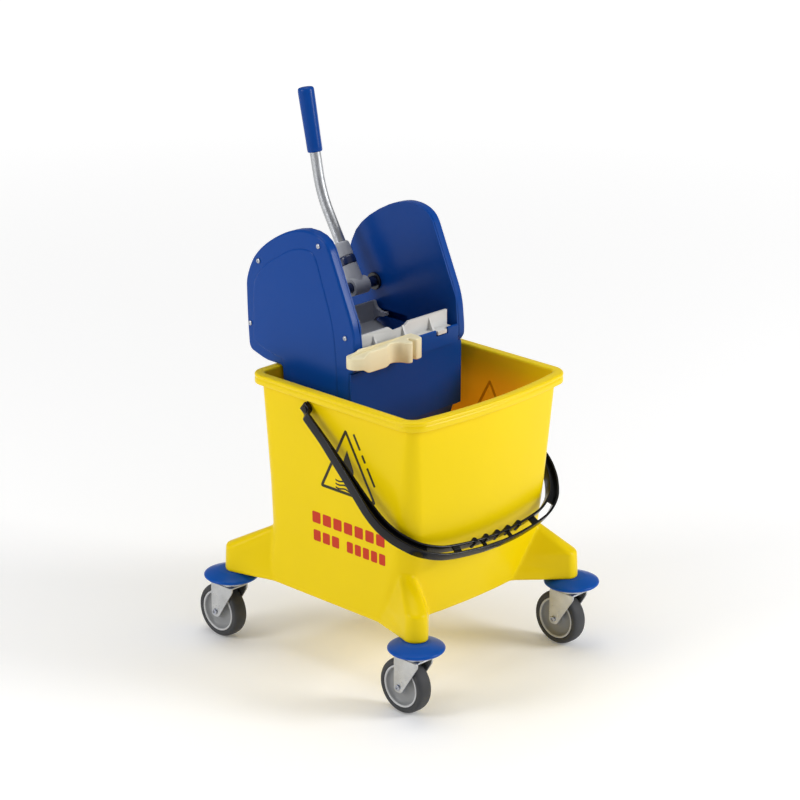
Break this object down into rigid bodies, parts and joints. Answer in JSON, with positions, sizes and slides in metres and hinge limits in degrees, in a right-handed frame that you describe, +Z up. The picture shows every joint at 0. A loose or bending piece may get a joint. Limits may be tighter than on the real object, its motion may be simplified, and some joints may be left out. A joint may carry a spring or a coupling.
{
  "type": "mop bucket with wringer",
  "caption": "Wheeled mop bucket on swivel casters with a carrying handle, a lift-off lever press wringer that hooks over the rim, and a clip for the mop handle.",
  "frame": {"origin": "middle of the whole object's footprint box, on the floor under the wheels", "axes": "+Z up; -Y towards the free front end of the bucket, +Y towards the wringer; X across the bucket, with the lever on the +X side"},
  "size_m": [0.4028, 0.4854, 0.7757],
  "materials": {
    "bucket_yellow": "glossy moulded yellow plastic",
    "bumper_blue": "satin blue plastic",
    "zinc_plate": "zinc plated pressed steel",
    "shaft_navy": "dark navy painted steel shaft",
    "plated_steel": "polished plated steel",
    "hub_grey": "grey moulded plastic",
    "tread_rubber": "dark grey rubber",
    "black_plastic": "black moulded plastic",
    "wringer_blue": "glossy moulded blue plastic",
    "lever_grey": "grey moulded plastic",
    "plate_white": "off-white moulded plastic",
    "clip_cream": "cream moulded plastic"
  },
  "bodies": {
    "base": {"bucket_tub": "bucket_yellow", "bumper_disc_front_left": "bumper_blue", "bumper_disc_front_right": "bumper_blue", "bumper_disc_back_left": "bumper_blue", "bumper_disc_back_right": "bumper_blue", "caster_stem_front_left": "zinc_plate", "caster_stem_front_right": "zinc_plate", "caster_stem_back_left": "zinc_plate", "caster_stem_back_right": "zinc_plate", "bail_pin_left": "black_plastic", "bail_pin_right": "black_plastic"},
    "swivel_front_left": {"caster_fork_front_left": "zinc_plate", "axle_bolt_front_left": "plated_steel"},
    "wheel_front_left": {"wheel_rim_front_left": "hub_grey", "wheel_tread_front_left": "tread_rubber"},
    "swivel_front_right": {"caster_fork_front_right": "zinc_plate", "axle_bolt_front_right": "plated_steel"},
    "wheel_front_right": {"wheel_rim_front_right": "hub_grey", "wheel_tread_front_right": "tread_rubber"},
    "swivel_back_left": {"caster_fork_back_left": "zinc_plate", "axle_bolt_back_left": "plated_steel"},
    "wheel_back_left": {"wheel_rim_back_left": "hub_grey", "wheel_tread_back_left": "tread_rubber"},
    "swivel_back_right": {"caster_fork_back_right": "zinc_plate", "axle_bolt_back_right": "plated_steel"},
    "wheel_back_right": {"wheel_rim_back_right": "hub_grey", "wheel_tread_back_right": "tread_rubber"},
    "bail": {"bail_handle": "black_plastic"},
    "wringer": {"wringer_body": "wringer_blue", "wringer_front_wall": "wringer_blue", "side_cover_left": "wringer_blue", "side_cover_right": "wringer_blue", "cover_screw_left_1": "plated_steel", "cover_screw_left_2": "plated_steel", "cover_screw_left_3": "plated_steel", "cover_screw_left_4": "plated_steel", "cover_screw_right_1": "plated_steel", "cover_screw_right_2": "plated_steel", "cover_screw_right_3": "plated_steel", "cover_screw_right_4": "plated_steel", "shaft_bush_left": "black_plastic", "shaft_bush_right": "black_plastic", "front_press_plate": "plate_white", "mop_handle_clip": "clip_cream"},
    "lever": {"cross_shaft": "shaft_navy", "lever_socket": "lever_grey", "lever_collar": "wringer_blue", "lever_sleeve": "lever_grey", "lever_tube": "plated_steel", "lever_grip": "wringer_blue", "crank_left": "zinc_plate", "crank_right": "zinc_plate"},
    "press": {"rear_press_plate": "lever_grey", "guide_rod": "plated_steel", "drive_arm_left": "zinc_plate", "drive_arm_right": "zinc_plate"}
  },
  "joints": [
    {"name": "swivel_turn_front_left", "type": "hinge", "parent": "base", "child": "swivel_front_left", "pos_m": [-0.1614, -0.20273, 0.0883], "axis": [0, 0, 1], "continuous": true},
    {"name": "wheel_spin_front_left", "type": "hinge", "parent": "swivel_front_left", "child": "wheel_front_left", "pos_m": [-0.1614, -0.18303, 0.04], "axis": [1, 0, 0], "continuous": true},
    {"name": "swivel_turn_front_right", "type": "hinge", "parent": "base", "child": "swivel_front_right", "pos_m": [0.1614, -0.20273, 0.0883], "axis": [0, 0, 1], "continuous": true},
    {"name": "wheel_spin_front_right", "type": "hinge", "parent": "swivel_front_right", "child": "wheel_front_right", "pos_m": [0.1614, -0.18303, 0.04], "axis": [1, 0, 0], "continuous": true},
    {"name": "swivel_turn_back_left", "type": "hinge", "parent": "base", "child": "swivel_back_left", "pos_m": [-0.1614, 0.16827, 0.0883], "axis": [0, 0, 1], "continuous": true},
    {"name": "wheel_spin_back_left", "type": "hinge", "parent": "swivel_back_left", "child": "wheel_back_left", "pos_m": [-0.1614, 0.18797, 0.04], "axis": [1, 0, 0], "continuous": true},
    {"name": "swivel_turn_back_right", "type": "hinge", "parent": "base", "child": "swivel_back_right", "pos_m": [0.1614, 0.16827, 0.0883], "axis": [0, 0, 1], "continuous": true},
    {"name": "wheel_spin_back_right", "type": "hinge", "parent": "swivel_back_right", "child": "wheel_back_right", "pos_m": [0.1614, 0.18797, 0.04], "axis": [1, 0, 0], "continuous": true},
    {"name": "bail_swing", "type": "hinge", "parent": "base", "child": "bail", "pos_m": [0, 0.01437, 0.391], "axis": [-1, 0, 0], "range_deg": [0, 138]},
    {"name": "wringer_lift", "type": "slide", "parent": "base", "child": "wringer", "axis": [0, 0, 1], "range_m": [0, 0.014]},
    {"name": "lever_pull", "type": "hinge", "parent": "wringer", "child": "lever", "pos_m": [0, 0.12777, 0.497], "axis": [1, 0, 0], "range_deg": [0, 75]},
    {"name": "press_slide", "type": "slide", "parent": "wringer", "child": "press", "axis": [0, -1, 0], "range_m": [0, 0.063]}
  ],
  "couplings": [
    {"joint": "press_slide", "follows": "lever_pull", "m_per_rad": 0.04811}
  ]
}
